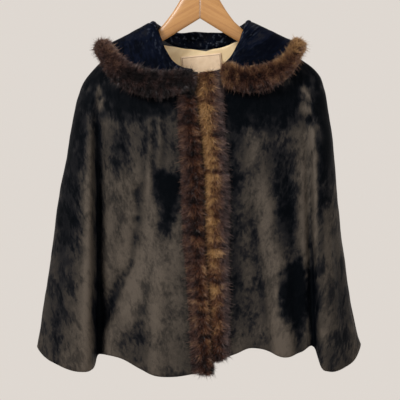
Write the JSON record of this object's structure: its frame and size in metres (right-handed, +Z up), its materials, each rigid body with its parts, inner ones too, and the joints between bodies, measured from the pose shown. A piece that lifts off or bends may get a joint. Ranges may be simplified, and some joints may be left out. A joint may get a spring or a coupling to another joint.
{
  "type": "capelet on hanger",
  "caption": "Short bell-shaped plush cape, open in front, with a wide turned-down collar and mink trim at collar and front edges, hung on a wooden coat hanger",
  "frame": {"origin": "the underside of the hook's crown, where a rail carries the hanger", "axes": "+Z is up, the cape's front faces -Y and the wearer's left side is at +X"},
  "size_m": [0.6213, 0.1684, 0.8316],
  "materials": {
    "plush": "short dense seal plush with a high sheen and a brushed, mottled nap",
    "lining": "cream satin",
    "label": "blank woven satin label",
    "mink": "dense brown fur with darker guard hairs",
    "wood": "clear satin varnish on pale hardwood",
    "steel": "bright plated wire"
  },
  "bodies": {
    "root": {"front_right": "plush", "front_left": "plush", "back": "plush", "collar": "plush", "back_lining": "lining", "label": "label", "collar_fur_right": "mink", "collar_fur_left": "mink", "front_fur_right": "mink", "front_fur_left": "mink", "hanger_arm_right": "wood", "hanger_arm_left": "wood", "hanger_hook": "steel"}
  },
  "joints": []
}
